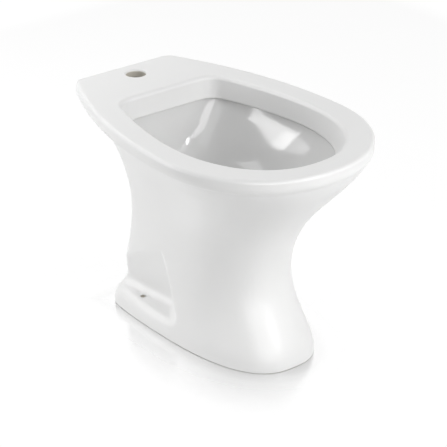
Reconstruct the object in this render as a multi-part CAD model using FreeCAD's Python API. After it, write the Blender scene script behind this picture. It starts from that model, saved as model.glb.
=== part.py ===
import FreeCAD, Part
import math
import os

os.makedirs("parts", exist_ok=True)

V = FreeCAD.Vector
UP = V(0, 0, 1)

# All sizes in millimetres. Floor at z = 0, x = 0 is the plane of symmetry,
# the nose points to -Y and the wall lies toward +Y.

# Rim and deck
LENGTH = 550.0
HEIGHT = 381.0
RIM_HALF_WIDTH = 183.5
RIM_WIDEST_Y = -0.14 * LENGTH
RIM_THICKNESS = 28.0
RIM_UNDERSIDE = HEIGHT - RIM_THICKNESS
DECK_HALF_WIDTH = 97.0
DECK_CORNER = 16.0
RIM_NOSE_POWER = 2.11
RIM_SIDE_POWER = 2.05
RIM_TOP_ROUND = 6.0
RIM_UNDER_ROUND = 13.0
CREASE_ROUND = 6.0

# Mouth of the bowl: edge at the top of the rim and lip at the foot of the inner band
RIM_NOSE_LAND = 40.5
RIM_SIDE_LAND = 45.0
DECK_DEPTH = 125.0
MOUTH_FRONT = RIM_NOSE_LAND - 0.5 * LENGTH
MOUTH_BACK = 0.5 * LENGTH - DECK_DEPTH
MOUTH_HALF_WIDTH = RIM_HALF_WIDTH - RIM_SIDE_LAND
MOUTH_WIDEST_Y = RIM_WIDEST_Y + 25.0
MOUTH_BACK_SHARE = 0.7076
MOUTH_CORNER = 30.0
MOUTH_NOSE_POWER = 2.2
MOUTH_SIDE_POWER = 1.75
MOUTH_ROUND = 7.0
BAND_HEIGHT = 40.0
LIP_FRONT = MOUTH_FRONT + 24.0
LIP_BACK = MOUTH_BACK - 3.0
LIP_HALF_WIDTH = MOUTH_HALF_WIDTH - 5.0
LIP_WIDEST_Y = MOUTH_WIDEST_Y + 12.0
LIP_ROUND = 3.0

# Bowl under the lip. Each section gives its depth as a share of the bowl's depth,
# and its front, back and half width as shares of the mouth's.
BOWL_TOP = HEIGHT - BAND_HEIGHT
BOWL_FLOOR = 0.6037 * HEIGHT
BOWL_SECTIONS = (
    (0.0, 0.942, 1.047, 1.025),
    (0.171, 0.93, 1.045, 0.968),
    (0.369, 0.894, 1.033, 0.881),
    (0.595, 0.814, 1.0, 0.769),
    (0.775, 0.704, 0.907, 0.664),
    (0.91, 0.554, 0.7, 0.5415),
)
BOWL_SEAT_R = 42.0
BOWL_WIDEST_TOP = MOUTH_WIDEST_Y + 7.0
BOWL_WIDEST_LOW = 0.0
BOWL_WALL = 9.0
BOWL_FLOOR_WALL = 14.0

# Waisted pedestal. Each section gives its height as a share of the rim's underside,
# its front and back as shares of half the length and its half width as a share of the rim's.
BODY_SECTIONS = (
    (0.0, 0.6873, 0.6909, 0.5722),
    (0.04, 0.6873, 0.6909, 0.5722),
    (0.09, 0.6655, 0.68, 0.553),
    (0.176, 0.6, 0.658, 0.512),
    (0.312, 0.5055, 0.633, 0.474),
    (0.467, 0.5, 0.6145, 0.466),
    (0.623, 0.578, 0.611, 0.518),
    (0.779, 0.738, 0.6255, 0.6485),
    (0.9065, 0.8945, 0.658, 0.801),
    (1.0, 0.9745, 0.691, 0.943),
    (1.0255, 0.9836, 0.702, 0.967),
)
BODY_WIDEST_FOOT = 0.109 * LENGTH
BODY_NOSE_POWER_FOOT = 2.7
BODY_NOSE_POWER_TOP = 2.15
BODY_BACK_SHARE_FOOT = 0.92
BODY_BACK_SHARE_TOP = 0.66
BODY_CORNER_SHARE = 0.3
BODY_WALL = 11.0
FOOT_HALF_WIDTH = BODY_SECTIONS[0][3] * RIM_HALF_WIDTH
FOOT_BACK = 0.5 * LENGTH * BODY_SECTIONS[0][2]
FOOT_EDGE_ROUND = 2.0
CAVITY_SHARE = 0.65

# Open back of the pedestal
BACK_OPENING_HALF_WIDTH = 50.0
BACK_OPENING_TOP = BOWL_FLOOR - BOWL_FLOOR_WALL - 2.0
BACK_OPENING_ROUND = 38.0

# Hollow underside of the deck and the tap hole
DECK_THICKNESS = 14.0
DECK_SKIRT = 14.0
DECK_HOLLOW_FRONT = FOOT_BACK + 18.0
TAP_Y = 0.5 * LENGTH - 41.0
TAP_HOLE_R = 17.5
TAP_LIP_ROUND = 3.0

# Slanted landings in the foot and their screw holes
LANDING_EDGE_X = FOOT_HALF_WIDTH - 3.0
LANDING_EDGE_Z = 30.0
LANDING_TILT = 8.0
LANDING_INNER_X = LANDING_EDGE_X - 45.0
LANDING_BACK_X = LANDING_INNER_X + 13.0
LANDING_BEND_Y = 45.0
LANDING_BACK_Y = FOOT_BACK + 40.0
LANDING_DRAFT = 13.0
LANDING_SWEEP = 38.0
LANDING_ROUND = 14.0
LANDING_EDGE_ROUND = 16.0
LANDING_CUT_TOP = 200.0
LUG_INNER_X = LANDING_INNER_X - BODY_WALL
SCREW_X = LANDING_EDGE_X - 21.0
SCREW_Y = LANDING_BEND_Y + 67.0
SCREW_HOLE_R = 5.0
SCREW_LIP = 1.2

# Clearances
THREAD_GAP = 0.15
RUNNING_GAP = 0.1
SEAL_GAP = 0.25

# Waste in the bowl floor, all on the vertical axis x = 0, y = 0
DRAIN_HOLE_R = 23.0
FLANGE_R = 31.5
FLANGE_THICKNESS = 4.0
FLANGE_SEAL_THICKNESS = 2.0
FLANGE_SEAL_R = 30.0
STEM_R = 20.95
STEM_BORE_R = 17.5
STEM_LENGTH = 0.176 * HEIGHT
THROAT_R = 20.2
THROAT_LOW_R = 18.6
THROAT_DEPTH = 8.0
UNDER_WASHER_R = 34.0
UNDER_WASHER_THICKNESS = 5.0
SLIP_WASHER_R = 33.0
SLIP_WASHER_THICKNESS = 1.5
LOCK_NUT_FLATS = 56.0
LOCK_NUT_HEIGHT = 10.5
BAR_WIDTH = 4.0
BAR_COUNT = 4
BOSS_R = 9.5
BOSS_HEIGHT = 8.0
BOSS_DROP = 22.0

# Plug and its spring cartridge
PLUG_TRAVEL = 9.0
SLEEVE_R = 6.5
SLEEVE_BORE_R = 5.0
SLEEVE_COLLAR_R = 8.5
SLEEVE_COLLAR_HEIGHT = 2.0
SLEEVE_BELOW = 24.0
SLEEVE_FLOOR = 2.0
SLEEVE_CAP_HEIGHT = 2.0
PISTON_HEIGHT = 10.0
ROD_R = 3.5
SPRING_WIRE_R = 0.45
SPRING_MEAN_R = 4.0
SPRING_TURNS = 6
PLUG_R = 26.0
PLUG_CLOSED_GAP = 1.0
PLUG_LIFT = PLUG_TRAVEL + PLUG_CLOSED_GAP
PLUG_CROWN = 7.0
PLUG_EDGE = 2.0
PLUG_NECK_R = 14.8
PLUG_NECK_HEIGHT = 4.0
PLUG_FOOT_R = 16.2
PLUG_FOOT_HEIGHT = 1.4
PLUG_SEAL_R = 19.5
PLUG_SOCKET_DEPTH = 10.0

# Bottle trap and waste pipe
PIPE_R = 16.0
PIPE_BORE_R = 14.8
COUPLING_HEIGHT = 20.0
COUPLING_R = 27.0
COUPLING_RIBS = 12
COUPLING_RIB_R = 2.2
COUPLING_SHOULDER = 3.0
COUPLING_WASHER = 3.5
NECK_R = 21.0
NECK_BORE_R = 17.5
NECK_HEIGHT = 16.0
TRAP_HEAD_R = 31.0
TRAP_HEAD_TOP = 0.32546 * HEIGHT
TRAP_HEAD_BOTTOM = TRAP_HEAD_TOP - 52.0
TRAP_WALL = 2.8
TRAP_CHAMFER = 5.0
OUTLET_Z = TRAP_HEAD_TOP - 22.0
OUTLET_END_Y = 58.0
PIPE_END_Y = FOOT_BACK - 28.0
PIPE_START_Y = 44.0
PIPE_SPIGOT = 40.0
PIPE_GROOVE = 0.3
PIPE_GROOVE_WIDTH = 1.0
PIPE_CHAMFER = 0.6
CUP_THREAD_HEIGHT = 9.0
CUP_FLANGE_HEIGHT = 6.0
CUP_R = 26.5
CUP_BOTTOM = 0.0735 * HEIGHT
CUP_ROUND = 8.0
CUP_WALL = 2.5
CUP_SEAL_THICKNESS = 2.0
DIP_TUBE_END = CUP_BOTTOM + 16.0
DIP_TUBE_INSERT = 8.0

NOSE_STEPS = 16
SIDE_STEPS = 10
CORNER_STEPS = 5
EDGE_STEPS = 3


def blend(first, second, share):
    return first + (second - first) * share


def egg(front, back, widest, half_width, back_half_width, corner, nose_power, side_power):
    """Closed outline: straight back edge, rounded corners, bowed sides and a superelliptic nose."""

    def side(y):
        share = (y - widest) / (back - widest)
        return half_width - (half_width - back_half_width) * share ** side_power

    slope = side_power * (half_width - back_half_width) / (back - widest)
    reach = corner / math.hypot(1.0, slope)
    right = []
    for i in range(EDGE_STEPS):
        right.append(((back_half_width - corner) * i / EDGE_STEPS, back))
    for i in range(CORNER_STEPS):
        t = i / CORNER_STEPS
        end = side(back - reach)
        x = (1 - t) ** 2 * (back_half_width - corner) + 2 * t * (1 - t) * back_half_width + t * t * end
        y = back - t * t * reach
        right.append((x, y))
    for i in range(SIDE_STEPS):
        y = blend(back - reach, widest, i / SIDE_STEPS)
        right.append((side(y), y))
    for i in range(NOSE_STEPS):
        angle = 0.5 * math.pi * i / NOSE_STEPS
        x = half_width * math.cos(angle) ** (2.0 / nose_power)
        y = widest - (widest - front) * math.sin(angle) ** (2.0 / nose_power)
        right.append((x, y))
    left = [(-x, y) for x, y in reversed(right[1:])]
    return right + [(0.0, front)] + left


def parameters(outlines):
    """Mean chord length parameters of several closed outlines, so that their curves share knots."""
    total = [0.0] * (len(outlines[0]) + 1)
    for points in outlines:
        lengths = [math.dist(points[i], points[(i + 1) % len(points)]) for i in range(len(points))]
        run = 0.0
        for i, length in enumerate(lengths):
            run += length / sum(lengths)
            total[i + 1] += run / len(outlines)
    return total


def wire(points, z, knots):
    curve = Part.BSplineCurve()
    curve.interpolate(Points=[V(x, y, z) for x, y in points], PeriodicFlag=True, Parameters=knots)
    return Part.Wire([curve.toShape()])


def loft(outlines, heights, ruled=False):
    """Solid through closed outlines at the given heights."""
    knots = parameters(outlines)
    wires = [wire(points, z, knots) for points, z in zip(outlines, heights)]
    return Part.makeLoft(wires, True, ruled)


def body_outline(section, inset=0.0):
    """Outline of the pedestal at one section, drawn in by a wall thickness."""
    height, front, back, width = section
    share = min(height, 1.0)
    half_width = width * RIM_HALF_WIDTH - inset
    back_half_width = half_width * blend(BODY_BACK_SHARE_FOOT, BODY_BACK_SHARE_TOP, share)
    widest = blend(BODY_WIDEST_FOOT, RIM_WIDEST_Y, share)
    nose_power = blend(BODY_NOSE_POWER_FOOT, BODY_NOSE_POWER_TOP, share)
    corner = BODY_CORNER_SHARE * back_half_width
    front, back = inset - 0.5 * LENGTH * front, 0.5 * LENGTH * back - inset
    return egg(front, back, widest, half_width, back_half_width, corner, nose_power, 2.0)


def rim_outline():
    return egg(
        -0.5 * LENGTH, 0.5 * LENGTH, RIM_WIDEST_Y, RIM_HALF_WIDTH, DECK_HALF_WIDTH, DECK_CORNER,
        RIM_NOSE_POWER, RIM_SIDE_POWER,
    )


def mouth_outline(front, back, half_width, widest):
    back_half_width = half_width * MOUTH_BACK_SHARE
    return egg(
        front, back, widest, half_width, back_half_width, MOUTH_CORNER, MOUTH_NOSE_POWER, MOUTH_SIDE_POWER,
    )


def bowl_outlines(grow=0.0):
    """Outlines of the bowl's sections, down to a round drain seat, and their heights."""
    sections = [
        (depth, front * MOUTH_FRONT, back * MOUTH_BACK, width * MOUTH_HALF_WIDTH)
        for depth, front, back, width in BOWL_SECTIONS
    ]
    sections.append((1.0, -BOWL_SEAT_R, BOWL_SEAT_R, BOWL_SEAT_R))
    outlines = []
    for depth, front, back, half_width in sections:
        half_width += grow
        back_half_width = half_width * blend(MOUTH_BACK_SHARE, 0.5, depth)
        outlines.append(egg(
            front - grow, back + grow, blend(BOWL_WIDEST_TOP, BOWL_WIDEST_LOW, depth), half_width,
            back_half_width, blend(0.45, 0.6, depth) * back_half_width,
            blend(MOUTH_NOSE_POWER, 2.0, depth), 2.0,
        ))
    return outlines, [blend(BOWL_TOP, BOWL_FLOOR, section[0]) for section in sections]


def edges_at(shape, z, tolerance=0.01):
    """Edges that lie in the plane at height z."""
    box = [(edge, edge.BoundBox) for edge in shape.Edges]
    return [edge for edge, b in box if abs(b.ZMin - z) < tolerance and abs(b.ZMax - z) < tolerance]


def loops_at(shape, z, half_width):
    """Edges in the plane at height z that belong to the loop of the given half width."""
    return [e for e in edges_at(shape, z) if abs(0.5 * e.BoundBox.XLength - half_width) < 1.0]


def prism(points, z0, z1):
    face = Part.Face(Part.makePolygon([V(x, y, z0) for x, y in points + points[:1]]))
    return face.extrude(V(0, 0, z1 - z0))


def upright_edges(shape):
    return [e for e in shape.Edges if e.BoundBox.XLength < 0.01 and e.BoundBox.YLength < 0.01]


def rim():
    """Slab of the rim and deck, rounded above and more deeply below."""
    outline = rim_outline()
    face = Part.Face(wire(outline, RIM_UNDERSIDE, parameters([outline])))
    slab = face.extrude(V(0, 0, RIM_THICKNESS))
    slab = slab.makeFillet(RIM_TOP_ROUND, edges_at(slab, HEIGHT))
    return slab.makeFillet(RIM_UNDER_ROUND, edges_at(slab, RIM_UNDERSIDE))


def bowl_space():
    """Space inside the bowl: under the lip, and between the sloped inner bands above it."""
    below = loft(*bowl_outlines())
    mouth = mouth_outline(MOUTH_FRONT, MOUTH_BACK, MOUTH_HALF_WIDTH, MOUTH_WIDEST_Y)
    lip = mouth_outline(LIP_FRONT, LIP_BACK, LIP_HALF_WIDTH, LIP_WIDEST_Y)
    above = loft([lip, mouth], [BOWL_TOP, HEIGHT], ruled=True)
    return below.fuse(above)


def bowl_shell():
    """Outside of the bowl where it hangs free in the pedestal."""
    outlines, heights = bowl_outlines(BOWL_WALL)
    return loft(outlines, [z - BOWL_FLOOR_WALL for z in heights])


def block(low, high):
    """Solid with plane faces between two four-sided outlines, given corner by corner."""
    faces = [low, high]
    for i in range(4):
        j = (i + 1) % 4
        faces.append([low[i], low[j], high[j], high[i]])
    shell = Part.Shell([Part.Face(Part.makePolygon(corners + corners[:1])) for corners in faces])
    return Part.Solid(shell)


def landing(side, wall=0.0):
    """Drafted recess over one landing, swept outward at its front, or with a wall the lug around it."""
    draft, sweep = math.radians(LANDING_DRAFT), math.radians(LANDING_SWEEP)
    outer = 2.0 * LANDING_EDGE_X
    along = V(LANDING_BACK_X - LANDING_INNER_X, LANDING_BACK_Y - LANDING_BEND_Y, 0).normalize()
    ahead = V(math.sin(sweep), -math.cos(sweep), 0)
    inner_way = V(along.y, -along.x, 0)
    front_way = V(-ahead.y, ahead.x, 0)

    def plan(z):
        bend = V(LANDING_INNER_X, LANDING_BEND_Y, z)
        shift = (z - LANDING_EDGE_Z) * math.tan(draft) - wall / math.cos(draft)
        inner = bend + inner_way * shift
        front = bend + front_way * shift
        corner = bend + (inner_way + front_way) * (shift / (1 + inner_way.dot(front_way)))
        back = inner + along * ((LANDING_BACK_Y - inner.y) / along.y)
        tip = front + ahead * ((outer - front.x) / ahead.x)
        corners = [corner, back, V(outer, LANDING_BACK_Y, z), tip]
        return [V(side * point.x, point.y, z) for point in corners]

    return block(plan(-0.5 * LANDING_EDGE_Z), plan(LANDING_CUT_TOP))


def landing_scoop(side):
    """Space cut above one landing, rounded where its floor, wall and ramp meet."""
    scoop = landing(side).common(above_landing(side))
    inner = []
    for edge in scoop.Edges:
        middle = edge.valueAt(0.5 * (edge.FirstParameter + edge.LastParameter))
        low = min(v.Z for v in edge.Vertexes) < LANDING_CUT_TOP - 1
        if low and abs(middle.x) < 1.9 * LANDING_EDGE_X and middle.y < LANDING_BACK_Y - 1:
            inner.append(edge)
    return scoop.makeFillet(LANDING_ROUND, inner)


def above_landing(side):
    """Half space above the slanted landing."""
    size = 400.0
    box = Part.makeBox(size, size, size, V(0, -0.25 * size, 0))
    box.rotate(V(0, 0, 0), V(0, 1, 0), LANDING_TILT)
    rise = LANDING_EDGE_X * math.tan(math.radians(LANDING_TILT))
    box.translate(V(0, 0, LANDING_EDGE_Z + rise))
    if side < 0:
        box = box.mirror(V(0, 0, 0), V(1, 0, 0))
    return box


def wall_edges(shape, z0, z1):
    """Edges between z0 and z1 where the pedestal's tall outer face meets another face."""
    found = []
    for edge in shape.Edges:
        faces = shape.ancestorsOfType(edge, Part.Face)
        tall = [f for f in faces if f.BoundBox.ZLength > 0.5 * HEIGHT]
        if len(faces) == 2 and len(tall) == 1 and edge.BoundBox.ZMin > z0 and edge.BoundBox.ZMax < z1:
            found.append(edge)
    return found


def pedestal():
    """Waisted outside of the pedestal, up into the rim, with its landings scooped out."""
    solid = loft([body_outline(s) for s in BODY_SECTIONS], [s[0] * RIM_UNDERSIDE for s in BODY_SECTIONS])
    solid = solid.makeFillet(FOOT_EDGE_ROUND, edges_at(solid, 0.0))
    for side in (-1, 1):
        solid = solid.cut(landing_scoop(side))
    return solid.makeFillet(LANDING_EDGE_ROUND, wall_edges(solid, 0.5 * LANDING_EDGE_Z, LANDING_CUT_TOP))


def pedestal_hollow():
    """Hollow of the pedestal, open at the floor and at the back, around bowl and landing lugs."""
    sections = [s for s in BODY_SECTIONS if s[0] <= CAVITY_SHARE]
    outlines = [body_outline(s, BODY_WALL) for s in sections]
    heights = [s[0] * RIM_UNDERSIDE for s in sections]
    heights[0] = -BODY_WALL
    hollow = loft(outlines, heights)
    half = BACK_OPENING_HALF_WIDTH
    back = FOOT_BACK + BODY_WALL
    door = Part.makeBox(2 * half, back, BACK_OPENING_TOP + BODY_WALL, V(-half, 0, -BODY_WALL))
    top = [e for e in door.Edges if e.BoundBox.XLength < 0.01 and e.BoundBox.ZMin > 0]
    door = door.makeFillet(BACK_OPENING_ROUND, [e for e in top if e.BoundBox.ZLength < 0.01])
    hollow = hollow.fuse(door)
    hollow = hollow.cut(bowl_shell())
    corner = V(-LUG_INNER_X, -0.5 * LENGTH, -BODY_WALL)
    gap = Part.makeBox(2 * LUG_INNER_X, LENGTH, LANDING_EDGE_Z + BODY_WALL, corner)
    for side in (-1, 1):
        hollow = hollow.cut(landing(side, BODY_WALL).cut(gap))
    return hollow


def deck_hollow():
    """Recess under the deck that leaves an even skirt."""
    back = 0.5 * LENGTH - DECK_SKIRT
    points = []
    for y in (DECK_HOLLOW_FRONT, back):
        share = (y - RIM_WIDEST_Y) / (0.5 * LENGTH - RIM_WIDEST_Y)
        half = RIM_HALF_WIDTH - (RIM_HALF_WIDTH - DECK_HALF_WIDTH) * share ** RIM_SIDE_POWER - DECK_SKIRT
        points.append((half, y))
    (x0, y0), (x1, y1) = points
    top = HEIGHT - DECK_THICKNESS
    solid = prism([(-x0, y0), (x0, y0), (x1, y1), (-x1, y1)], RIM_UNDERSIDE - 1.0, top)
    return solid.makeFillet(DECK_SKIRT, upright_edges(solid))


def rounded_hole(x, y, radius, lip, z0, z1):
    """Hole with a lip rounded toward its upper end at z1."""
    bore = Part.makeCylinder(radius, z1 - z0, V(x, y, z0))
    lip_ring = Part.makeCylinder(radius + lip, lip, V(x, y, z1 - lip))
    lip_ring = lip_ring.cut(Part.makeTorus(radius + lip, lip, V(x, y, z1 - lip)))
    return bore.fuse(lip_ring)


def screw_hole(side):
    """Upright screw hole, widened at the landing by a small lip."""
    base = V(side * SCREW_X, SCREW_Y, -1.0)
    rise = (LANDING_EDGE_X - SCREW_X) * math.tan(math.radians(LANDING_TILT))
    floor = V(side * SCREW_X, SCREW_Y, LANDING_EDGE_Z + rise - SCREW_LIP)
    lip = Part.makeCone(SCREW_HOLE_R, SCREW_HOLE_R + 3 * SCREW_LIP, 3 * SCREW_LIP, floor)
    return Part.makeCylinder(SCREW_HOLE_R, LANDING_EDGE_Z + rise, base).fuse(lip)


def ceramic_body():
    """Fired body: outside, bowl, hollow pedestal, deck, landings and holes."""
    body = pedestal().fuse(rim())
    crease = wall_edges(body, HEIGHT - 1.5 * RIM_THICKNESS, HEIGHT - RIM_TOP_ROUND)
    body = body.makeFillet(CREASE_ROUND, crease)
    body = body.cut(pedestal_hollow())
    body = body.cut(bowl_space())
    body = body.makeFillet(MOUTH_ROUND, loops_at(body, HEIGHT, MOUTH_HALF_WIDTH))
    body = body.makeFillet(LIP_ROUND, loops_at(body, BOWL_TOP, LIP_HALF_WIDTH))
    body = body.cut(deck_hollow())
    for side in (-1, 1):
        body = body.cut(screw_hole(side))
    body = body.cut(rounded_hole(0, TAP_Y, TAP_HOLE_R, TAP_LIP_ROUND, RIM_UNDERSIDE, HEIGHT))
    drain = Part.makeCylinder(DRAIN_HOLE_R, 2 * BOWL_FLOOR_WALL, V(0, 0, BOWL_FLOOR - BOWL_FLOOR_WALL - 1))
    return body.cut(drain)


def spun(points):
    """Solid of revolution about the drain axis from (radius, height) points."""
    profile = Part.makePolygon([V(r, 0, z) for r, z in points + points[:1]])
    return Part.Face(profile).revolve(V(0, 0, 0), UP, 360)


def ring(outer, inner, z0, z1):
    return spun([(inner, z0), (outer, z0), (outer, z1), (inner, z1)])


def hexagon(flats, z0, z1):
    radius = flats / math.sqrt(3)
    corners = [(radius * math.cos(math.pi * i / 3), radius * math.sin(math.pi * i / 3)) for i in range(6)]
    return prism(corners, z0, z1)


FLANGE_Z = BOWL_FLOOR + FLANGE_SEAL_THICKNESS
FLANGE_TOP = FLANGE_Z + FLANGE_THICKNESS
STEM_END = FLANGE_Z - STEM_LENGTH
UNDER_Z = BOWL_FLOOR - BOWL_FLOOR_WALL
SLIP_Z = UNDER_Z - UNDER_WASHER_THICKNESS
NUT_Z = SLIP_Z - SLIP_WASHER_THICKNESS
BOSS_TOP = FLANGE_TOP - BOSS_DROP
COLLAR_TOP = BOSS_TOP + SLEEVE_COLLAR_HEIGHT
SLEEVE_END = BOSS_TOP - SLEEVE_BELOW
SPRING_Z = SLEEVE_END + SLEEVE_FLOOR
PLUG_Z = FLANGE_TOP + PLUG_LIFT
PLUG_LOW = PLUG_Z - PLUG_NECK_HEIGHT - PLUG_FOOT_HEIGHT
SLEEVE_TOP = PLUG_LOW - PLUG_LIFT - SLEEVE_CAP_HEIGHT
PISTON_Z = SLEEVE_TOP - PISTON_HEIGHT


def waste_flange():
    """Flange, throat and threaded stem, with cross bars around the cartridge's boss."""
    body = spun([
        (STEM_BORE_R, STEM_END), (STEM_R, STEM_END), (STEM_R, FLANGE_Z), (FLANGE_R, FLANGE_Z),
        (FLANGE_R, FLANGE_Z + 0.4 * FLANGE_THICKNESS), (FLANGE_R - FLANGE_THICKNESS, FLANGE_TOP),
        (THROAT_R, FLANGE_TOP), (THROAT_LOW_R, FLANGE_TOP - THROAT_DEPTH),
        (STEM_BORE_R, FLANGE_TOP - THROAT_DEPTH),
    ])
    boss_z = BOSS_TOP - BOSS_HEIGHT
    boss = Part.makeCylinder(BOSS_R, BOSS_HEIGHT, V(0, 0, boss_z))
    for i in range(BAR_COUNT):
        bar = Part.makeBox(STEM_BORE_R + 1.0, BAR_WIDTH, BOSS_HEIGHT, V(0, -0.5 * BAR_WIDTH, boss_z))
        bar.rotate(V(0, 0, 0), UP, 360.0 * i / BAR_COUNT)
        boss = boss.fuse(bar)
    bore = Part.makeCylinder(SLEEVE_R + THREAD_GAP, 2 * BOSS_HEIGHT, V(0, 0, BOSS_TOP - 1.5 * BOSS_HEIGHT))
    return body.fuse(boss.cut(bore)).removeSplitter()


def flange_seal():
    return ring(FLANGE_SEAL_R, STEM_R + SEAL_GAP, BOWL_FLOOR, FLANGE_Z)


def under_washer():
    """Rubber ring with a bevelled lower edge."""
    inner = STEM_R + SEAL_GAP
    bevel = 0.5 * UNDER_WASHER_THICKNESS
    return spun([
        (inner, SLIP_Z), (UNDER_WASHER_R - bevel, SLIP_Z), (UNDER_WASHER_R, SLIP_Z + bevel),
        (UNDER_WASHER_R, UNDER_Z), (inner, UNDER_Z),
    ])


def slip_washer():
    return ring(SLIP_WASHER_R, STEM_R + SEAL_GAP, NUT_Z, SLIP_Z)


def lock_nut():
    """Hexagon nut, its corners turned off below."""
    z0 = NUT_Z - LOCK_NUT_HEIGHT
    corner = LOCK_NUT_FLATS / math.sqrt(3)
    turned = spun([
        (STEM_R + THREAD_GAP, z0), (0.5 * LOCK_NUT_FLATS, z0), (corner, z0 + 0.25 * LOCK_NUT_HEIGHT),
        (corner, NUT_Z), (STEM_R + THREAD_GAP, NUT_Z),
    ])
    return hexagon(LOCK_NUT_FLATS, z0, NUT_Z).common(turned)


def cartridge_sleeve():
    """Closed tube with a collar that rests on the boss of the cross bars."""
    return spun([
        (0, SLEEVE_END), (SLEEVE_R, SLEEVE_END), (SLEEVE_R, BOSS_TOP), (SLEEVE_COLLAR_R, BOSS_TOP),
        (SLEEVE_COLLAR_R, COLLAR_TOP), (SLEEVE_R, COLLAR_TOP), (SLEEVE_R, SLEEVE_TOP),
        (SLEEVE_BORE_R, SLEEVE_TOP), (SLEEVE_BORE_R, SPRING_Z), (0, SPRING_Z),
    ])


def cartridge_cap():
    return ring(SLEEVE_R, ROD_R + RUNNING_GAP, SLEEVE_TOP, SLEEVE_TOP + SLEEVE_CAP_HEIGHT)


def cartridge_spring():
    """Compression spring between the sleeve's floor and the piston."""
    start = SPRING_Z + SPRING_WIRE_R
    height = PISTON_Z - SPRING_WIRE_R - start
    path = Part.makeHelix(height / SPRING_TURNS, height, SPRING_MEAN_R)
    path.translate(V(0, 0, start))
    section = Part.Wire([Part.makeCircle(SPRING_WIRE_R, V(SPRING_MEAN_R, 0, start), V(0, 1, 0))])
    return Part.Wire(path.Edges).makePipeShell([section], True, True)


def plunger():
    """Piston in the sleeve and the rod that carries the plug."""
    top = PLUG_LOW + PLUG_SOCKET_DEPTH
    piston = SLEEVE_BORE_R - RUNNING_GAP
    return spun([
        (0, PISTON_Z), (piston, PISTON_Z), (piston, SLEEVE_TOP), (ROD_R, SLEEVE_TOP), (ROD_R, top), (0, top),
    ])


def plug_cap():
    """Domed plug with a grooved neck for its seal and a socket for the rod."""
    neck = PLUG_Z - PLUG_NECK_HEIGHT
    socket = ROD_R + 0.5 * RUNNING_GAP
    dome_z = PLUG_Z + PLUG_EDGE
    radius = (PLUG_R ** 2 + PLUG_CROWN ** 2) / (2 * PLUG_CROWN)
    half = 0.5 * math.asin(PLUG_R / radius)
    crown = dome_z + PLUG_CROWN
    middle = V(radius * math.sin(half), 0, crown - radius * (1 - math.cos(half)))
    dome = Part.Arc(V(PLUG_R, 0, dome_z), middle, V(0, 0, crown)).toShape()
    points = [
        (0, crown), (0, PLUG_LOW + PLUG_SOCKET_DEPTH), (socket, PLUG_LOW + PLUG_SOCKET_DEPTH),
        (socket, PLUG_LOW), (PLUG_FOOT_R, PLUG_LOW), (PLUG_FOOT_R, neck), (PLUG_NECK_R, neck),
        (PLUG_NECK_R, PLUG_Z), (PLUG_R, PLUG_Z), (PLUG_R, dome_z),
    ]
    profile = Part.Wire([dome] + Part.makePolygon([V(r, 0, z) for r, z in points]).Edges)
    return Part.Face(profile).revolve(V(0, 0, 0), UP, 360)


def plug_seal():
    """Flat ring in the groove of the plug's neck, bevelled to the throat."""
    inner = PLUG_NECK_R + 0.5 * RUNNING_GAP
    low = PLUG_Z - PLUG_NECK_HEIGHT
    bevel = 0.25 * PLUG_NECK_HEIGHT
    return spun([
        (inner, low), (PLUG_SEAL_R - bevel, low), (PLUG_SEAL_R, low + bevel),
        (PLUG_SEAL_R, PLUG_Z), (inner, PLUG_Z),
    ])


def coupling(z_thread, thread_r):
    """Ribbed nut whose shoulder presses a washer on the thread's end at z_thread, and that washer."""
    washer_z = z_thread - COUPLING_WASHER
    shoulder = washer_z - COUPLING_SHOULDER
    top = shoulder + COUPLING_HEIGHT
    pipe = PIPE_R + THREAD_GAP
    nut = spun([
        (pipe, shoulder), (COUPLING_R - COUPLING_SHOULDER, shoulder),
        (COUPLING_R, shoulder + COUPLING_SHOULDER), (COUPLING_R, top),
        (thread_r + THREAD_GAP, top), (thread_r + THREAD_GAP, washer_z), (pipe, washer_z),
    ])
    for i in range(COUPLING_RIBS):
        angle = 2 * math.pi * i / COUPLING_RIBS
        base = V(COUPLING_R * math.cos(angle), COUPLING_R * math.sin(angle), shoulder + COUPLING_SHOULDER)
        nut = nut.fuse(Part.makeCylinder(COUPLING_RIB_R, COUPLING_HEIGHT - COUPLING_SHOULDER, base))
    washer = ring(thread_r - THREAD_GAP, pipe, washer_z, z_thread)
    return nut.removeSplitter(), washer


def turned_over(shape, z):
    """The same shape upside down about the height z."""
    shape = shape.copy()
    shape.rotate(V(0, 0, z), V(1, 0, 0), 180)
    return shape


def laid_to_wall(shape, z, y):
    """A piece built upward from height z on the drain axis, laid along the outlet from y toward the wall."""
    shape = shape.copy()
    shape.translate(V(0, 0, -z))
    shape.rotate(V(0, 0, 0), V(1, 0, 0), -90)
    shape.translate(V(0, y, OUTLET_Z))
    return shape


def dip_tube():
    return ring(PIPE_R, PIPE_BORE_R, DIP_TUBE_END, STEM_END + DIP_TUBE_INSERT)


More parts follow.
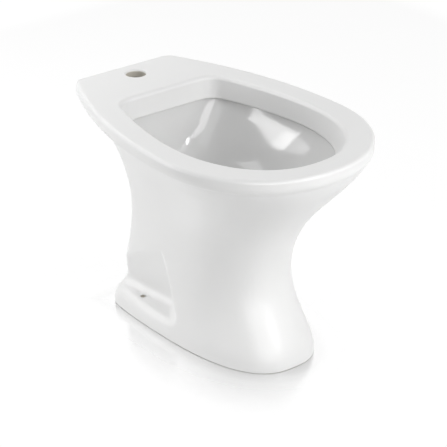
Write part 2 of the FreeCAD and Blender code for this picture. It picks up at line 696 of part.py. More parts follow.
def trap_head():
    """Chambered head with a threaded neck, a threaded skirt and the outlet spigot."""
    neck_top = TRAP_HEAD_TOP + NECK_HEIGHT
    thread = TRAP_HEAD_R - TRAP_WALL
    roof = TRAP_HEAD_TOP - TRAP_WALL
    outside = spun([
        (0, TRAP_HEAD_BOTTOM), (TRAP_HEAD_R, TRAP_HEAD_BOTTOM), (TRAP_HEAD_R, TRAP_HEAD_TOP - TRAP_CHAMFER),
        (TRAP_HEAD_R - TRAP_CHAMFER, TRAP_HEAD_TOP), (NECK_R, TRAP_HEAD_TOP),
        (NECK_R, neck_top), (0, neck_top),
    ])
    spigot = Part.makeCylinder(NECK_R, OUTLET_END_Y, V(0, 0, OUTLET_Z), V(0, 1, 0))
    inside = spun([
        (0, TRAP_HEAD_BOTTOM - 1), (thread, TRAP_HEAD_BOTTOM - 1), (thread, roof - TRAP_CHAMFER),
        (thread - TRAP_CHAMFER, roof), (NECK_BORE_R, roof), (NECK_BORE_R, neck_top + 1), (0, neck_top + 1),
    ])
    outlet = Part.makeCylinder(NECK_BORE_R, OUTLET_END_Y + 1, V(0, 0, OUTLET_Z), V(0, 1, 0))
    return outside.fuse(spigot).cut(inside.fuse(outlet)).removeSplitter()


def trap_cup():
    """Cup that screws into the head's skirt, with a gripping flange and a rounded bottom."""
    thread = TRAP_HEAD_R - TRAP_WALL - THREAD_GAP
    flange_top = TRAP_HEAD_BOTTOM - CUP_SEAL_THICKNESS
    flange_low = flange_top - CUP_FLANGE_HEIGHT
    thread_top = TRAP_HEAD_BOTTOM + CUP_THREAD_HEIGHT
    outside = spun([
        (0, CUP_BOTTOM), (CUP_R, CUP_BOTTOM), (CUP_R, flange_low), (TRAP_HEAD_R, flange_low),
        (TRAP_HEAD_R, flange_top), (thread, flange_top), (thread, thread_top), (0, thread_top),
    ])
    outside = outside.makeFillet(CUP_ROUND, edges_at(outside, CUP_BOTTOM))
    bore = CUP_R - CUP_WALL
    floor = CUP_BOTTOM + CUP_WALL
    inside = spun([(0, floor), (bore, floor), (bore, thread_top + 1), (0, thread_top + 1)])
    inside = inside.makeFillet(CUP_ROUND - CUP_WALL, edges_at(inside, floor))
    return outside.cut(inside)


def cup_seal():
    top = TRAP_HEAD_BOTTOM
    return ring(TRAP_HEAD_R, TRAP_HEAD_R - TRAP_WALL + THREAD_GAP, top - CUP_SEAL_THICKNESS, top)


def waste_pipe():
    """Pipe to the wall, with a groove that marks how deep its end goes into a socket."""
    mark = PIPE_END_Y - PIPE_SPIGOT
    groove = PIPE_R - PIPE_GROOVE
    pipe = spun([
        (PIPE_BORE_R, PIPE_START_Y), (PIPE_R, PIPE_START_Y), (PIPE_R, mark - PIPE_GROOVE_WIDTH),
        (groove, mark - PIPE_GROOVE_WIDTH), (groove, mark), (PIPE_R, mark),
        (PIPE_R, PIPE_END_Y - PIPE_CHAMFER),
        (PIPE_R - PIPE_CHAMFER, PIPE_END_Y), (PIPE_BORE_R, PIPE_END_Y),
    ])
    return laid_to_wall(pipe, 0.0, 0.0)


def main():
    neck_top = TRAP_HEAD_TOP + NECK_HEIGHT
    inlet_nut, inlet_washer = coupling(STEM_END, STEM_R)
    upright_nut, upright_washer = coupling(neck_top, NECK_R)
    top_nut, top_washer = [turned_over(shape, neck_top) for shape in (upright_nut, upright_washer)]
    wall_nut, wall_washer = [laid_to_wall(shape, neck_top, OUTLET_END_Y) for shape in (top_nut, top_washer)]
    nodes = {
        "ceramic_body": ceramic_body(),
        "waste_flange": waste_flange(),
        "flange_seal": flange_seal(),
        "under_washer": under_washer(),
        "slip_washer": slip_washer(),
        "lock_nut": lock_nut(),
        "cartridge_sleeve": cartridge_sleeve(),
        "cartridge_cap": cartridge_cap(),
        "cartridge_spring": cartridge_spring(),
        "plunger": plunger(),
        "plug_cap": plug_cap(),
        "plug_seal": plug_seal(),
        "trap_inlet_nut": inlet_nut,
        "trap_inlet_washer": inlet_washer,
        "dip_tube": dip_tube(),
        "trap_top_nut": top_nut,
        "trap_top_washer": top_washer,
        "trap_head": trap_head(),
        "trap_cup": trap_cup(),
        "cup_seal": cup_seal(),
        "outlet_nut": wall_nut,
        "outlet_washer": wall_washer,
        "waste_pipe": waste_pipe(),
    }
    for name, shape in nodes.items():
        print(name, shape.isValid(), len(shape.Solids), round(shape.Volume))
        shape.exportStep("parts/" + name + ".step")


main()
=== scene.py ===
"""Looks of a floor-standing bidet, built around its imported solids."""
import math

import bpy
import numpy as np
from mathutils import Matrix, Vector


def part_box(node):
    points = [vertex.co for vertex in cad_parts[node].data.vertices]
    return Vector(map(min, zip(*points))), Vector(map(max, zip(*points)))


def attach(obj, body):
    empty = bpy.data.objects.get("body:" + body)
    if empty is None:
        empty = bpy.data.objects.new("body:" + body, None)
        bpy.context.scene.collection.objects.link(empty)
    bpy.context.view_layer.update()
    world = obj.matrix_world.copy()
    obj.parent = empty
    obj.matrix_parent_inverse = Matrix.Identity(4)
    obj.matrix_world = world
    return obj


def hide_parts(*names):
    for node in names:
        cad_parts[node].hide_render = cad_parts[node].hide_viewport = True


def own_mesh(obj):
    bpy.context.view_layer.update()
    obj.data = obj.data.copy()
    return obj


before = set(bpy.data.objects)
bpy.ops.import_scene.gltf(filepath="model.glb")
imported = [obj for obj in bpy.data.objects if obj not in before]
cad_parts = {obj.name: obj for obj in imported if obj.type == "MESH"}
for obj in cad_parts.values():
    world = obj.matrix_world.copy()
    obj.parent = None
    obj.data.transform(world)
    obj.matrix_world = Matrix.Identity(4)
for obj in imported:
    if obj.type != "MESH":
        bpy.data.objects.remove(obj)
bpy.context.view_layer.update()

bl_info = {
    "name": "Bidet",
    "version": (1, 0, 0),
    "blender": (4, 5, 0),
    "location": "3D View > Sidebar > Bidet",
    "description": "Glazed china bidet with its push plug waste and bottle trap",
    "category": "Object",
}

# Places on the solids, in metres. A pair is the start and the end of a soft change.
FOOT_HALF = (0.098, 0.19)           # the foot's half width and half length
FOOT_UNDERSIDE = (0.0001, 0.0004)
HOLLOW_DEPTH = (-0.004, 0.0)        # how far the hollow's walls look inward
HOLLOW_TOP = (0.222, 0.225)
BOWL_DEPTH = (-0.012, -0.002)       # how far the bowl's walls look inward
BOWL_BOTTOM = (0.226, 0.23)
BOWL_TOP = (0.338, 0.341)
RECESS_START = (0.365, 0.3655)
UNDER_DECK_LOW = (0.339, 0.342)
UNDER_DECK_HIGH = (0.3672, 0.3676)
UNDER_DECK_FRONT = (0.195, 0.2)
TAP_Y = 0.234
TAP_LIP = (0.376, 0.379)
STEM_TOP = (0.222, 0.224)
THREAD_PITCH = 0.0018

# Squares of radii, in square metres.
TAP_BORE = (0.000315, 0.00036)
STEM_INSIDE = (0.00042, 0.00043)
STEM_OUTSIDE = (0.00045, 0.00046)

# Upward part of the normal where the hollow's walls and the recess's ceiling end.
HOLLOW_SLOPE = (0.15, 0.25)
RECESS_SLOPE = (-0.95, -0.9)

# Finishes and painted shade: tones are shares of the colour, heights are in metres.
# Painted shade: the bowl's inside gets the glaze colour times this tone.
BOWL_PAINTED_SHADE = 0.86
SHADED_CLAY_TONE = 0.25
BORE_SHADE = 0.5
CLAY_ROUGHNESS = 0.75
PEEL_HEIGHT = 0.000004
RING_HEIGHT = 0.000003
GLAZE_IOR = 1.52
GLAZE_SPECULAR = 0.4
MOULDED_IOR = 1.49
GRAIN_BAND = (0.3, 0.7)             # noise values between which the gloss changes
WASHER_COLOUR = (0.74, 0.73, 0.68)
SPRING_COLOUR = (0.55, 0.56, 0.57)

# Spring mesh: path steps in each turn and sides of the wire.
COIL_STEPS = 40
WIRE_SIDES = 12

# Floor: shares of the mirror's reach, then distances from the foot in metres.
MIRROR_HALVING = 0.2
MIRROR_HOLD = 0.3
SHADE_REACH = 0.25
SHADE_GLOW = (0.3, 0.85)            # glow at the foot and past the shade
FAR_FLOOR = (0.4, 1.5)
FLOOR_HALF = 6.0
FLOOR_GLOW = 1.06
MIRROR_ROUGHNESS = 0.2

WHITE = (1.0, 1.0, 1.0, 1.0)
SENSOR_WIDTH = 36.0

# Lamps: name, azimuth and elevation in degrees, distance and size in metres, power in watts.
# They face the point at the height LAMP_AIM on the upright axis.
LAMP_AIM = 0.22
LAMPS = (
    ("key", 12, 25, 2.4, (0.5, 1.0), 25.0),
    ("right key", 29, 31, 2.4, (1.5, 1.2), 12.0),
    ("back left low", -120, 5, 2.4, (1.6, 0.4), 8.6),
    ("left low", -95, 5, 2.4, (1.6, 0.4), 3.9),
    ("left", -66, 38, 2.4, (1.5, 1.2), 6.5),
    ("back left", -150, 34, 1.7, (1.1, 0.9), 9.5),
    ("back", 180, 45, 1.5, (1.0, 1.0), 4.5),
    ("top left", -60, 62, 2.4, (1.5, 1.5), 2.6),
    ("top right", 60, 62, 2.4, (1.5, 1.5), 1.9),
)
# These are seen as reflections only and add no diffuse light.
MIRRORED_LAMPS = (
    ("bowl corner", -25, 17, 2.4, (2.1, 1.2), 36.0),
    ("bowl patch", -125, 18, 2.4, (0.95, 0.5), 12.0),
)


class ChinaSettings(bpy.types.PropertyGroup):
    """Colours and gloss of the fired body."""

    glaze: bpy.props.FloatVectorProperty(
        name="Glaze", description="Colour of the white glaze", subtype="COLOR",
        size=3, min=0.0, max=1.0, default=(0.80, 0.80, 0.796))
    clay: bpy.props.FloatVectorProperty(
        name="Bare clay", description="Colour of the unglazed foot and hollow", subtype="COLOR",
        size=3, min=0.0, max=1.0, default=(0.70, 0.66, 0.58))
    gloss: bpy.props.FloatProperty(
        name="Glaze roughness", description="Roughness of the glaze on the outside",
        subtype="FACTOR", min=0.0, max=1.0, default=0.38)
    bowl_gloss: bpy.props.FloatProperty(
        name="Bowl roughness", description="Roughness of the thicker glaze in the bowl",
        subtype="FACTOR", min=0.0, max=1.0, default=0.07)
    ripple: bpy.props.FloatProperty(
        name="Ripple", description="Height of the glaze's slow ripple", unit="LENGTH",
        min=0.0, max=0.002, default=0.00004)


class WasteSettings(bpy.types.PropertyGroup):
    """Colours of the waste and the trap, and the plug spring's wire."""

    chrome: bpy.props.FloatVectorProperty(
        name="Chrome", description="Colour of plug and flange", subtype="COLOR",
        size=3, min=0.0, max=1.0, default=(0.80, 0.81, 0.83))
    brass: bpy.props.FloatVectorProperty(
        name="Brass", description="Colour of nut and cartridge", subtype="COLOR",
        size=3, min=0.0, max=1.0, default=(0.68, 0.49, 0.22))
    rubber: bpy.props.FloatVectorProperty(
        name="Rubber", description="Colour of seals and washers", subtype="COLOR",
        size=3, min=0.0, max=1.0, default=(0.028, 0.028, 0.030))
    spring_wire: bpy.props.FloatProperty(
        name="Spring wire", description="Radius of the plug spring's wire", unit="LENGTH",
        min=0.0001, max=0.002, default=0.00045, precision=5)
    spring_turns: bpy.props.IntProperty(
        name="Spring turns", description="Turns of the plug spring", min=2, max=20, default=6)
    plastic: bpy.props.FloatVectorProperty(
        name="Trap plastic", description="Colour of trap, nuts and pipe", subtype="COLOR",
        size=3, min=0.0, max=1.0, default=(0.78, 0.79, 0.79))


class StageSettings(bpy.types.PropertyGroup):
    """Floor, even light and camera."""

    floor: bpy.props.FloatVectorProperty(
        name="Floor", description="Colour of the floor", subtype="COLOR",
        size=3, min=0.0, max=1.0, default=(0.9, 0.9, 0.9))
    azimuth: bpy.props.FloatProperty(
        name="Azimuth", description="Camera's angle around the object, 0 in front of the nose",
        subtype="ANGLE", default=math.radians(-38.346))
    elevation: bpy.props.FloatProperty(
        name="Elevation", description="Camera's angle above the floor",
        subtype="ANGLE", default=math.radians(25.907))
    distance: bpy.props.FloatProperty(
        name="Distance", description="Camera's distance from its target",
        unit="LENGTH", default=3.1541)
    target: bpy.props.FloatVectorProperty(
        name="Target", description="Point that the camera looks at", subtype="XYZ", unit="LENGTH",
        size=3, default=(0.003743, 0.0, 0.186381))
    lens: bpy.props.FloatProperty(
        name="Lens", description="Focal length in millimetres on a 36 mm sensor", default=154.066)
    fill: bpy.props.FloatProperty(
        name="Fill", description="Brightness of the even light from all around",
        min=0.0, default=0.17)
    backdrop: bpy.props.FloatProperty(
        name="Backdrop",
        description="Brightness of floor and backdrop as the camera and mirrors see them",
        min=0.0, default=1.0)
    mirror_reach: bpy.props.FloatProperty(
        name="Mirror reach",
        description="Distance from the foot at which its mirror image has faded",
        unit="LENGTH", min=0.01, default=0.16)
    mirror_tone: bpy.props.FloatProperty(
        name="Mirror tone", description="Share of light that the floor's mirror image keeps",
        subtype="FACTOR", min=0.1, max=1.0, default=0.72)


class NodeTree:
    """Short way to add nodes and links to a material or world."""

    def __init__(self, owner):
        owner.use_nodes = True
        self.tree = owner.node_tree
        self.tree.nodes.clear()

    def put(self, socket, value):
        """Link a socket to another one, or set its own value."""
        if isinstance(value, bpy.types.NodeSocket):
            self.tree.links.new(value, socket)
        else:
            socket.default_value = value

    def add(self, kind, settings=None, **inputs):
        """Node with its inputs by name, _ for a blank, or by number after a leading _."""
        node = self.tree.nodes.new(kind)
        for name, value in (settings or {}).items():
            setattr(node, name, value)
        for name, value in inputs.items():
            key = int(name[1:]) if name[0] == "_" else name.replace("_", " ")
            self.put(node.inputs[key], value)
        return node

    def axes(self, vector):
        """The three parts of a vector."""
        split = self.add("ShaderNodeSeparateXYZ", Vector=vector)
        return [split.outputs[axis] for axis in "XYZ"]

    def noise(self, where, scale, detail):
        """Cloudy value from 0 to 1, with the scale in waves per metre."""
        return self.add(
            "ShaderNodeTexNoise", Vector=where, Scale=scale, Detail=detail).outputs["Fac"]

    def ramp(self, value, band, to_low, to_high):
        """Smooth step from one number to another while the value crosses the band."""
        node = self.add(
            "ShaderNodeMapRange", {"interpolation_type": "SMOOTHSTEP"}, Value=value,
            From_Min=band[0], From_Max=band[1], To_Min=to_low, To_Max=to_high)
        return node.outputs["Result"]

    def rise(self, value, band):
        """Smooth step from 0 to 1."""
        return self.ramp(value, band, 0.0, 1.0)

    def fall(self, value, band):
        """Smooth step from 1 to 0."""
        return self.ramp(value, band, 1.0, 0.0)

    def mix(self, share, first, second):
        """Colour between two; a Mix node's sockets 6 and 7 and its output 2 are its colours."""
        node = self.add("ShaderNodeMix", {"data_type": "RGBA"}, _0=share)
        for socket, colour in zip(node.inputs[6:8], (first, second)):
            linked = isinstance(colour, bpy.types.NodeSocket)
            self.put(socket, colour if linked else (*colour, 1.0))
        return node.outputs[2]

    def shades(self, share, colour, low, high):
        """Colour whose tone goes from low to high with the share."""
        return self.mix(share, tinted(colour, low), tinted(colour, high))

    def between(self, share, first, second):
        """Number that goes from first to second with the share."""
        return self.add("ShaderNodeMix", _0=share, _2=first, _3=second).outputs[0]

    def math(self, operation, first, *others):
        """Math nodes in a row: each takes the last result and the next value."""
        for other in others:
            node = self.add("ShaderNodeMath", {"operation": operation}, _0=first, _1=other)
            first = node.outputs[0]
        return first

    def dot(self, x, y, other_x, other_y):
        """Sum of the products of two flat vectors' parts."""
        return self.math(
            "ADD", self.math("MULTIPLY", x, other_x), self.math("MULTIPLY", y, other_y))

    def length(self, x, y):
        """Length of a flat vector."""
        return self.math("SQRT", self.dot(x, y, x, y), 0.0)

    def bump(self, height, distance, normal=None):
        """Normal tilted by a height map, on top of another normal if there is one."""
        node = self.add("ShaderNodeBump", Height=height, Distance=distance)
        if normal is not None:
            self.put(node.inputs["Normal"], normal)
        return node.outputs["Normal"]

    def blend(self, share, first, second):
        """Mix of two shaders."""
        return self.add("ShaderNodeMixShader", Fac=share, _1=first, _2=second).outputs[0]

    def principled(self, colour, roughness, normal, **constants):
        """Principled surface as the material's output."""
        shader = self.add("ShaderNodeBsdfPrincipled", Base_Color=colour, Roughness=roughness,
                          Normal=normal, **constants)
        self.add("ShaderNodeOutputMaterial", Surface=shader.outputs[0])


def tinted(colour, factor):
    """Colour times a factor, at most 1 in each part."""
    return tuple(min(1.0, c * factor) for c in colour)


def start_material(name):
    """New material, its empty tree and the object coordinates."""
    material = bpy.data.materials.new(name)
    t = NodeTree(material)
    return material, t, t.add("ShaderNodeTexCoord").outputs["Object"]


def glaze_shares(t, where):
    """Shares of bare clay, of the bowl's inside and of clay in deep shade.

    A wall looks inward where its place and its normal, both seen from above, point against each
    other. Bare are the foot's underside, the pedestal's hollow, the deck's recess and the tap hole.
    The bowl is what looks inward from its floor up to the band. The deepest shade lies under the
    deck, and half of it in the tap hole.
    """
    x, y, z = t.axes(where)
    facing_x, facing_y, facing_z = t.axes(t.add("ShaderNodeNewGeometry").outputs["Normal"])
    outward = t.dot(x, y, facing_x, facing_y)
    inward = t.fall(outward, BOWL_DEPTH)
    hollow = t.math("MULTIPLY", t.fall(outward, HOLLOW_DEPTH), t.fall(z, HOLLOW_TOP),
                    t.fall(facing_z, HOLLOW_SLOPE))
    under = t.fall(z, FOOT_UNDERSIDE)
    recess = t.math("MULTIPLY", t.fall(facing_z, RECESS_SLOPE), t.rise(z, RECESS_START))
    aside = t.math("SUBTRACT", y, TAP_Y)
    bore = t.math("MULTIPLY", t.fall(t.dot(x, aside, x, aside), TAP_BORE), t.fall(z, TAP_LIP))
    under_deck = t.math("MULTIPLY", t.rise(z, UNDER_DECK_LOW), t.fall(z, UNDER_DECK_HIGH),
                        t.rise(y, UNDER_DECK_FRONT), inward)
    bare = t.math("MAXIMUM", hollow, under, recess, bore, under_deck)
    bowl = t.math("MULTIPLY", inward, t.rise(z, BOWL_BOTTOM), t.fall(z, BOWL_TOP))
    shaded = t.math("MAXIMUM", t.math("MULTIPLY", bore, BORE_SHADE), under_deck)
    return bare, bowl, shaded


def glaze_material(china):
    """White gloss glaze over cast china with painted shade in the bowl, and bare clay where the
    glaze was left off.
    """
    material, t, where = start_material("white_glaze")
    bare, bowl, shaded = glaze_shares(t, where)
    white = t.shades(t.noise(where, scale=7.0, detail=3.0), china.glaze, 0.985, 1.01)
    # Painted shade: the bowl's inside takes a darker glaze colour than the outside.
    white = t.mix(bowl, white, tinted(china.glaze, BOWL_PAINTED_SHADE))
    clay = t.shades(t.noise(where, scale=900.0, detail=4.0), china.clay, 0.9, 1.05)
    clay = t.mix(shaded, clay, tinted(china.clay, SHADED_CLAY_TONE))
    gloss = t.between(bowl, china.gloss, china.bowl_gloss)
    normal = t.bump(t.noise(where, scale=14.0, detail=1.0), china.ripple)
    normal = t.bump(t.noise(where, scale=260.0, detail=1.0), PEEL_HEIGHT, normal)
    t.principled(t.mix(bare, white, clay), t.between(bare, gloss, CLAY_ROUGHNESS), normal,
                 IOR=GLAZE_IOR, Specular_IOR_Level=GLAZE_SPECULAR)
    return material


def thread_height(t, where):
    """Helical thread on the waste's stem: a ridge that climbs one pitch for each turn."""
    x, y, z = t.axes(where)
    turn = t.math("DIVIDE", t.math("ARCTAN2", y, x), 2.0 * math.pi)
    phase = t.math("SUBTRACT", t.math("DIVIDE", z, THREAD_PITCH), turn)
    ridge = t.math("PINGPONG", phase, 0.5)
    around = t.dot(x, y, x, y)
    stem = t.math("MULTIPLY", t.rise(around, STEM_INSIDE), t.fall(around, STEM_OUTSIDE),
                  t.fall(z, STEM_TOP))
    return t.math("MULTIPLY", ridge, stem)


def metal_material(name, colour, roughness, rings, threaded=False):
    """Turned metal: fine rings around the drain axis and a slow change of gloss."""
    material, t, where = start_material(name)
    film = t.noise(where, scale=45.0, detail=3.0)
    gloss = t.ramp(film, GRAIN_BAND, 0.7 * roughness, 1.4 * roughness)
    wave = t.add("ShaderNodeTexWave", {"wave_type": "RINGS", "rings_direction": "Z"},
                 Vector=where, Scale=rings, Distortion=0.4)
    normal = t.bump(wave.outputs["Fac"], RING_HEIGHT)
    if threaded:
        normal = t.bump(thread_height(t, where), THREAD_PITCH, normal)
    t.principled(t.shades(film, colour, 0.9, 1.06), gloss, normal, Metallic=1.0)
    return material


def moulded_material(name, colour, roughness, grain, height):
    """Moulded plastic or rubber with a fine skin and slow changes of tone."""
    material, t, where = start_material(name)
    cloud = t.noise(where, scale=30.0, detail=3.0)
    skin = t.noise(where, scale=grain, detail=3.0)
    gloss = t.ramp(skin, GRAIN_BAND, 0.85 * roughness, 1.15 * roughness)
    t.principled(t.shades(cloud, colour, 0.93, 1.05), gloss, t.bump(skin, height),
                 IOR=MOULDED_IOR)
    return material


def dress(material, *names):
    """Give CAD nodes a material in place of their plain one."""
    for name in names:
        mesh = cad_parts[name].data
        mesh.materials.clear()
        mesh.materials.append(material)


class BIDET_OT_china(bpy.types.Operator):
    """Glaze the fired body"""

    bl_idname = "bidet.china"
    bl_label = "China body"

    def execute(self, context):
        dress(glaze_material(context.scene.bidet_china), "ceramic_body")
        return {"FINISHED"}


class BIDET_OT_waste(bpy.types.Operator):
    """Finish the push plug waste"""

    bl_idname = "bidet.waste"
    bl_label = "Push plug waste"

    def execute(self, context):
        waste = context.scene.bidet_waste
        dress(metal_material("chrome_plate", waste.chrome, roughness=0.09, rings=400.0),
              "plug_cap")
        dress(metal_material("threaded_chrome", waste.chrome, roughness=0.11, rings=400.0,
                             threaded=True),
              "waste_flange")
        dress(metal_material("turned_brass", waste.brass, roughness=0.28, rings=900.0),
              "lock_nut", "cartridge_sleeve", "cartridge_cap", "plunger")
        dress(moulded_material("black_rubber", waste.rubber, roughness=0.55, grain=700.0,
                               height=0.00002),
              "flange_seal", "under_washer", "plug_seal")
        dress(moulded_material("natural_washer", WASHER_COLOUR, roughness=0.4, grain=500.0,
                               height=0.00001),
              "slip_washer")
        return {"FINISHED"}


def coil(wire, turns, low, high):
    """Spring as a round profile carried along a helix between two corners of its box.

    The path runs at the box's half width less the wire's radius and climbs evenly with its angle.
    The profile's circle lies across the path, in the plane of the outward direction and the path's
    second normal. Both ends are closed.
    """
    radius = 0.5 * (high[0] - low[0]) - wire
    angle = np.linspace(0.0, 2.0 * np.pi * turns, COIL_STEPS * turns + 1)
    climb = np.linspace(low[2] + wire, high[2] - wire, angle.size)
    rise = (climb[-1] - climb[0]) / angle[-1]
    zero = np.zeros_like(angle)
    outward = np.stack([np.cos(angle), np.sin(angle), zero], 1)
    path = radius * outward + np.stack([zero, zero, climb], 1)
    along = np.stack([-radius * np.sin(angle), radius * np.cos(angle), zero + rise], 1)
    along /= np.linalg.norm(along, axis=1, keepdims=True)
    across = np.cross(along, outward)
    around = np.linspace(0.0, 2.0 * np.pi, WIRE_SIDES, endpoint=False)[None, :, None]
    ring = np.cos(around) * outward[:, None] + np.sin(around) * across[:, None]
    points = (path[:, None] + wire * ring).reshape(-1, 3)
    row, side = np.meshgrid(np.arange(angle.size - 1), np.arange(WIRE_SIDES), indexing="ij")
    here = row * WIRE_SIDES + side
    beside = row * WIRE_SIDES + (side + 1) % WIRE_SIDES
    quads = np.stack([here, beside, beside + WIRE_SIDES, here + WIRE_SIDES], 2).reshape(-1, 4)
    first = np.arange(WIRE_SIDES)[::-1]
    last = np.arange(WIRE_SIDES) + WIRE_SIDES * (angle.size - 1)
    mesh = bpy.data.meshes.new("plug_spring")
    mesh.from_pydata(points.tolist(), [], quads.tolist() + [first.tolist(), last.tolist()])
    mesh.shade_smooth()
    return mesh


class BIDET_OT_spring(bpy.types.Operator):
    """Wind the plug's spring as one fixed coil; the real spring shortens as the plug goes down"""

    bl_idname = "bidet.spring"
    bl_label = "Plug spring"

    def execute(self, context):
        waste = context.scene.bidet_waste
        low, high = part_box("cartridge_spring")
        mesh = coil(waste.spring_wire, waste.spring_turns, low, high)
        mesh.materials.append(
            metal_material("spring_wire", SPRING_COLOUR, roughness=0.3, rings=1200.0))
        spring = bpy.data.objects.new("plug_spring", mesh)
        context.scene.collection.objects.link(spring)
        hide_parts("cartridge_spring")
        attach(spring, "body")
        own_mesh(spring)
        return {"FINISHED"}


class BIDET_OT_trap(bpy.types.Operator):
    """Finish the bottle trap and its pipe"""

    bl_idname = "bidet.trap"
    bl_label = "Bottle trap"

    def execute(self, context):
        waste = context.scene.bidet_waste
        dress(moulded_material("trap_plastic", waste.plastic, roughness=0.35, grain=400.0,
                               height=0.00002),
              "trap_inlet_nut", "dip_tube", "trap_top_nut", "trap_head", "trap_cup",
              "outlet_nut", "waste_pipe")
        dress(moulded_material("trap_rubber", waste.rubber, roughness=0.6, grain=700.0,
                               height=0.00002),
              "trap_inlet_washer", "trap_top_washer", "cup_seal", "outlet_washer")
        return {"FINISHED"}


def foot_distance(t, where):
    """Distance from the foot's outline, 0 inside it.

    The outline is a half ellipse at the nose and straight behind it. With the radius in shares of
    the ellipse, the distance is about (radius - 1) times the radius over the slope.
    """
    x, y, _ = t.axes(where)
    half_width, half_length = FOOT_HALF
    aside = t.math("DIVIDE", x, half_width)
    along = t.math("DIVIDE", t.math("MINIMUM", y, 0.0), half_length)
    radius = t.length(aside, along)
    slope = t.length(t.math("DIVIDE", aside, half_width), t.math("DIVIDE", along, half_length))
    away = t.math("DIVIDE", t.math("MULTIPLY", t.math("SUBTRACT", radius, 1.0), radius), slope)
    return t.math("MAXIMUM", away, t.math("SUBTRACT", y, half_length), 0.0)


def floor_material(stage):
    """Pale floor with soft shadows and a mirror image that fades from the foot.

    Camera and mirror rays see a matt floor near the foot, more and more of an even glow away from
    it, and over both a mirror whose share halves at a fixed distance and ends at its reach.
    """
    material, t, where = start_material("pale_floor")
    reach = stage.mirror_reach
    path = t.add("ShaderNodeLightPath").outputs
    seen = t.math("MAXIMUM", path["Is Camera Ray"], path["Is Glossy Ray"])
    away = foot_distance(t, where)
    halving = MIRROR_HALVING * reach
    fade = t.math("DIVIDE", halving, t.math("ADD", away, halving))
    fade = t.math("MULTIPLY", fade, t.fall(away, (MIRROR_HOLD * reach, reach)))
    share = t.math("MAXIMUM", t.ramp(away, (0.0, SHADE_REACH * reach), *SHADE_GLOW),
                   t.rise(away, FAR_FLOOR))
    tone = t.shades(t.noise(where, scale=3.0, detail=2.0), stage.floor, 0.99, 1.0)
    matt = t.add("ShaderNodeBsdfDiffuse", Color=tone)
    glow = t.add("ShaderNodeEmission", Color=WHITE, Strength=FLOOR_GLOW * stage.backdrop)
    mirror = t.add("ShaderNodeBsdfGlossy", Color=(*[stage.mirror_tone] * 3, 1.0),
                   Roughness=MIRROR_ROUGHNESS)
    pale = t.blend(t.math("MULTIPLY", seen, share), matt.outputs[0], glow.outputs[0])
    both = t.blend(t.math("MULTIPLY", seen, fade), pale, mirror.outputs[0])
    t.add("ShaderNodeOutputMaterial", Surface=both)
    return material


def lay_floor(scene, stage):
    """Square floor at height 0."""
    half = FLOOR_HALF
    corners = [(-half, -half, 0), (half, -half, 0), (half, half, 0), (-half, half, 0)]
    mesh = bpy.data.meshes.new("floor")
    mesh.from_pydata(corners, [], [(0, 1, 2, 3)])
    mesh.materials.append(floor_material(stage))
    floor = bpy.data.objects.new("floor", mesh)
    scene.collection.objects.link(floor)


def light_world(scene, stage):
    """Even light, white to the camera; the floor's mirror tone is made good in mirror rays."""
    scene.world = bpy.data.worlds.new("studio")
    t = NodeTree(scene.world)
    path = t.add("ShaderNodeLightPath").outputs
    seen = t.math("MAXIMUM", path["Is Camera Ray"], path["Is Transmission Ray"])
    even, mirrored, white = (
        t.add("ShaderNodeBackground", Color=WHITE, Strength=strength).outputs[0]
        for strength in (stage.fill, stage.backdrop / stage.mirror_tone, stage.backdrop))
    both = t.blend(seen, t.blend(path["Is Glossy Ray"], even, mirrored), white)
    t.add("ShaderNodeOutputWorld", Surface=both)


def direction(azimuth, elevation):
    """Way from the object towards an azimuth, 0 in front of the nose, and an elevation."""
    flat = math.cos(elevation)
    return (math.sin(azimuth) * flat, -math.cos(azimuth) * flat, math.sin(elevation))


def hang_lamp(scene, name, azimuth, elevation, distance, size, power):
    """Rectangular soft lamp that faces the object."""
    data = bpy.data.lights.new(name, "AREA")
    data.shape = "RECTANGLE"
    data.size, data.size_y = size
    data.energy = power
    item = bpy.data.objects.new(name, data)
    way = Vector(direction(math.radians(azimuth), math.radians(elevation)))
    item.location = distance * way + Vector((0.0, 0.0, LAMP_AIM))
    item.rotation_euler = (-way).to_track_quat("-Z", "Y").to_euler()
    scene.collection.objects.link(item)
    return item


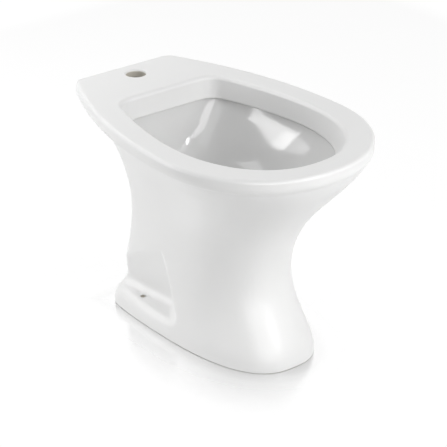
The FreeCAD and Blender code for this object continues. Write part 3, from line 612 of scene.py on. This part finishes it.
def set_camera(scene, stage):
    """Camera on its way from the target, looking back at it."""
    data = bpy.data.cameras.new("camera")
    data.lens = stage.lens
    data.sensor_width = SENSOR_WIDTH
    camera = bpy.data.objects.new("camera", data)
    way = Vector(direction(stage.azimuth, stage.elevation))
    camera.location = Vector(stage.target) + stage.distance * way
    camera.rotation_euler = (-way).to_track_quat("-Z", "Y").to_euler()
    scene.collection.objects.link(camera)
    scene.camera = camera


class BIDET_OT_stage(bpy.types.Operator):
    """Set floor, lamps and camera"""

    bl_idname = "bidet.stage"
    bl_label = "Stage"

    def execute(self, context):
        scene = context.scene
        scene.view_settings.view_transform = "Standard"
        lay_floor(scene, scene.bidet_stage)
        light_world(scene, scene.bidet_stage)
        for row in LAMPS:
            hang_lamp(scene, *row)
        for row in MIRRORED_LAMPS:
            hang_lamp(scene, *row).visible_diffuse = False
        set_camera(scene, scene.bidet_stage)
        return {"FINISHED"}


class BIDET_PT_panel(bpy.types.Panel):
    """Settings and steps in the sidebar"""

    bl_label = "Bidet"
    bl_idname = "BIDET_PT_panel"
    bl_space_type = "VIEW_3D"
    bl_region_type = "UI"
    bl_category = "Bidet"

    def draw(self, context):
        for name, group in GROUPS.items():
            box = self.layout.box()
            for setting in group.__annotations__:
                box.prop(getattr(context.scene, name), setting)
        for step in STEPS:
            self.layout.operator(step.bl_idname)


STEPS = (BIDET_OT_stage, BIDET_OT_china, BIDET_OT_waste, BIDET_OT_spring, BIDET_OT_trap)
GROUPS = {
    "bidet_china": ChinaSettings,
    "bidet_waste": WasteSettings,
    "bidet_stage": StageSettings,
}
CLASSES = (*GROUPS.values(), *STEPS, BIDET_PT_panel)


def register():
    for cls in CLASSES:
        bpy.utils.register_class(cls)
    for name, group in GROUPS.items():
        setattr(bpy.types.Scene, name, bpy.props.PointerProperty(type=group))


def unregister():
    for name in GROUPS:
        delattr(bpy.types.Scene, name)
    for cls in reversed(CLASSES):
        bpy.utils.unregister_class(cls)


def main():
    register()
    bpy.ops.bidet.stage()
    bpy.ops.bidet.china()
    bpy.ops.bidet.waste()
    bpy.ops.bidet.spring()
    bpy.ops.bidet.trap()


if __name__ == "__main__":
    main()
